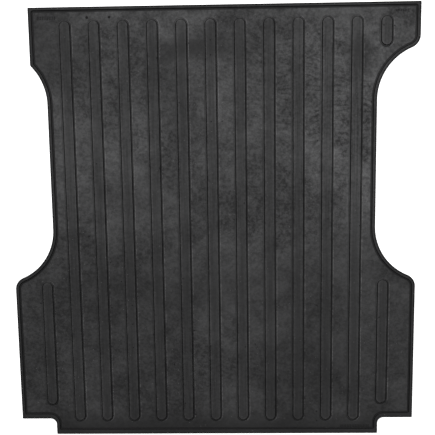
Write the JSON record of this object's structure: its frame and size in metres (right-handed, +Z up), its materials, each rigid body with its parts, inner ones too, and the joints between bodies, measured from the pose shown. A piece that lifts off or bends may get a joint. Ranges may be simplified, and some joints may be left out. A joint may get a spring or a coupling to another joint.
{
  "type": "truck bed liner",
  "caption": "Moulded rubber mat for a pickup bed floor, with lengthwise tread ribs, a raised rim, wheel-arch cut-outs and notched rear corners.",
  "frame": {"origin": "middle of the mat's box in plan, on the plane of the bed floor that it lies on", "axes": "+Z up out of the tread, +Y towards the cab, +X towards the passenger side"},
  "size_m": [1.616, 1.735, 0.0095],
  "materials": {
    "web": "matt, dusty bloom",
    "rib": "satin, fine lengthwise streaks",
    "rim": "matt",
    "underside": "matt"
  },
  "bodies": {
    "root": {"base_sheet": "web", "rear_rim": "rim", "left_notch_rim": "rim", "right_notch_rim": "rim", "rear_left_rim": "rim", "rear_right_rim": "rim", "left_arch_rim": "rim", "right_arch_rim": "rim", "front_left_rim": "rim", "front_right_rim": "rim", "front_rim": "rim", "long_rib_01": "rib", "long_rib_02": "rib", "long_rib_03": "rib", "long_rib_04": "rib", "long_rib_05": "rib", "long_rib_06": "rib", "long_rib_07": "rib", "long_rib_08": "rib", "long_rib_09": "rib", "long_rib_10": "rib", "long_rib_11": "rib", "short_rib_front_right": "rib", "short_rib_rear_left": "rib", "short_rib_rear_right": "rib", "drain_runner_01": "underside", "drain_runner_02": "underside", "drain_runner_03": "underside", "drain_runner_04": "underside", "drain_runner_05": "underside", "drain_runner_06": "underside", "drain_runner_07": "underside", "drain_runner_08": "underside", "drain_runner_09": "underside", "drain_runner_10": "underside", "drain_runner_11": "underside", "drain_runner_12": "underside", "drain_runner_rear_left": "underside", "drain_runner_rear_right": "underside", "drain_runner_front_right": "underside", "mould_panel_front_left": "web", "mould_panel_front_right": "web", "mould_panel_rear_right": "web"}
  },
  "joints": []
}
